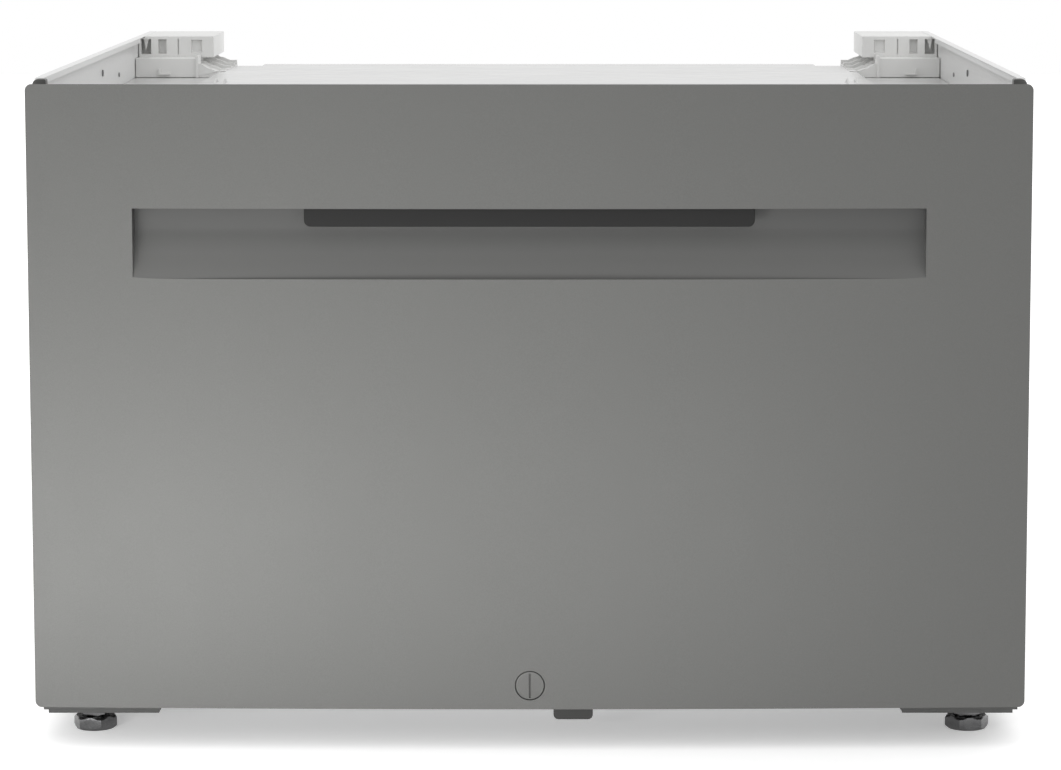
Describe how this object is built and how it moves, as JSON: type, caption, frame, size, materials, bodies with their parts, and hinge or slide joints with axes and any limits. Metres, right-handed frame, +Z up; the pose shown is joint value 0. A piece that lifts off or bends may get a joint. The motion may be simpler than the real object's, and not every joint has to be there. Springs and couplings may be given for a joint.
{
  "type": "drawer washing machine",
  "caption": "Low washing machine built as a pull-out drawer with a top-loading tub, made to stand under a full-size machine.",
  "frame": {"origin": "middle of the footprint, on the floor under the feet", "axes": "+Z up, front of the drawer towards -Y, +X to the right seen from the front"},
  "size_m": [0.7, 0.782, 0.472],
  "materials": {
    "white_paint": "smooth white appliance paint",
    "graphite_paint": "satin graphite grey, slightly metallic",
    "white_plastic": "moulded white plastic",
    "dark_plastic": "dark grey moulded plastic",
    "pale_plastic": "pale grey polypropylene",
    "zinc_steel": "zinc-coated sheet steel",
    "foot_steel": "machined plated steel",
    "spring_steel": "oiled spring steel",
    "stainless_steel": "perforated stainless steel",
    "cast_aluminium": "die cast",
    "copper_winding": "lacquered copper winding",
    "rubber": "moulded rubber",
    "smoked_glass": "smoked clear plastic window"
  },
  "bodies": {
    "cabinet": {"left_side_panel": "white_paint", "right_side_panel": "white_paint", "rear_panel": "white_paint", "left_corner_post": "graphite_paint", "right_corner_post": "graphite_paint", "left_corner_block": "white_plastic", "right_corner_block": "white_plastic", "top_cover": "white_plastic", "left_outer_rail": "zinc_steel", "right_outer_rail": "zinc_steel", "base_frame": "zinc_steel", "lock_catch": "dark_plastic", "inlet_valve": "pale_plastic", "fill_hose": "pale_plastic", "drain_hose": "rubber", "drain_outlet": "dark_plastic", "cord_gland": "dark_plastic", "control_board": "pale_plastic"},
    "front_left_leg": {"front_left_foot": "foot_steel"},
    "front_right_leg": {"front_right_foot": "foot_steel"},
    "rear_left_leg": {"rear_left_foot": "foot_steel"},
    "rear_right_leg": {"rear_right_foot": "foot_steel"},
    "slide_members": {"left_middle_rail": "zinc_steel", "right_middle_rail": "zinc_steel"},
    "drawer": {"front_panel": "graphite_paint", "panel_liner": "zinc_steel", "lever_pin": "zinc_steel", "lever_spring": "spring_steel", "drawer_bin": "zinc_steel", "drawer_deck": "white_plastic", "left_inner_rail": "zinc_steel", "right_inner_rail": "zinc_steel", "suspension_strut_1": "spring_steel", "suspension_strut_2": "spring_steel", "suspension_strut_3": "spring_steel", "suspension_strut_4": "spring_steel", "drain_pump": "dark_plastic", "control_panel": "dark_plastic", "outer_tub": "pale_plastic", "tub_ring": "pale_plastic", "bearing_housing": "cast_aluminium", "lower_bearing": "stainless_steel", "upper_bearing": "stainless_steel", "stator": "copper_winding"},
    "handle": {"handle_lever": "dark_plastic"},
    "lock": {"lock_knob": "graphite_paint", "lock_cam": "zinc_steel"},
    "lid": {"lid_frame": "white_plastic", "lid_window": "smoked_glass"},
    "flap": {"detergent_flap": "white_plastic"},
    "power_key": {"power_button": "pale_plastic"},
    "start_key": {"start_button": "pale_plastic"},
    "dial": {"program_dial": "pale_plastic"},
    "basket": {"drum": "stainless_steel", "balance_ring": "pale_plastic", "drum_shaft": "stainless_steel"},
    "agitator": {"pulsator": "pale_plastic", "drive_shaft": "stainless_steel", "rotor": "zinc_steel"}
  },
  "joints": [
    {"name": "drawer_slide", "type": "slide", "parent": "cabinet", "child": "drawer", "axis": [0, -1, 0], "range_m": [0, 0.4]},
    {"name": "slide_member_slide", "type": "slide", "parent": "cabinet", "child": "slide_members", "axis": [0, -1, 0], "range_m": [0, 0.2]},
    {"name": "handle_pull", "type": "hinge", "parent": "drawer", "child": "handle", "pos_m": [0, -0.383, 0.399], "axis": [-1, 0, 0], "range_deg": [0, 12], "stiffness_Nm_per_rad": 0.6, "springref_deg": -11.46},
    {"name": "lock_turn", "type": "hinge", "parent": "drawer", "child": "lock", "pos_m": [0, -0.391, 0.0464], "axis": [0, -1, 0], "range_deg": [0, 90]},
    {"name": "lid_hinge", "type": "hinge", "parent": "drawer", "child": "lid", "pos_m": [0, 0.066, 0.4225], "axis": [-1, 0, 0], "range_deg": [0, 95]},
    {"name": "flap_hinge", "type": "hinge", "parent": "drawer", "child": "flap", "pos_m": [0.2665, 0.06, 0.4079], "axis": [0, 1, 0], "range_deg": [0, 85]},
    {"name": "power_press", "type": "slide", "parent": "drawer", "child": "power_key", "axis": [0, 0, -1], "range_m": [0, 0.003], "stiffness_N_per_m": 300, "springref_m": -0.002},
    {"name": "start_press", "type": "slide", "parent": "drawer", "child": "start_key", "axis": [0, 0, -1], "range_m": [0, 0.003], "stiffness_N_per_m": 300, "springref_m": -0.002},
    {"name": "dial_turn", "type": "hinge", "parent": "drawer", "child": "dial", "pos_m": [0.14, -0.3185, 0.4174], "axis": [0, 0, 1], "continuous": true},
    {"name": "basket_spin", "type": "hinge", "parent": "drawer", "child": "basket", "pos_m": [0, -0.116, 0.1423], "axis": [0, 0, 1], "continuous": true},
    {"name": "agitator_spin", "type": "hinge", "parent": "drawer", "child": "agitator", "pos_m": [0, -0.116, 0.1423], "axis": [0, 0, 1], "continuous": true},
    {"name": "front_left_foot_turn", "type": "hinge", "parent": "cabinet", "child": "front_left_leg", "pos_m": [-0.316, -0.319, 0], "axis": [0, 0, 1], "continuous": true},
    {"name": "front_right_foot_turn", "type": "hinge", "parent": "cabinet", "child": "front_right_leg", "pos_m": [0.316, -0.319, 0], "axis": [0, 0, 1], "continuous": true},
    {"name": "rear_left_foot_turn", "type": "hinge", "parent": "cabinet", "child": "rear_left_leg", "pos_m": [-0.316, 0.345, 0], "axis": [0, 0, 1], "continuous": true},
    {"name": "rear_right_foot_turn", "type": "hinge", "parent": "cabinet", "child": "rear_right_leg", "pos_m": [0.316, 0.345, 0], "axis": [0, 0, 1], "continuous": true}
  ],
  "couplings": [
    {"joint": "slide_member_slide", "follows": "drawer_slide", "ratio": 0.5}
  ]
}
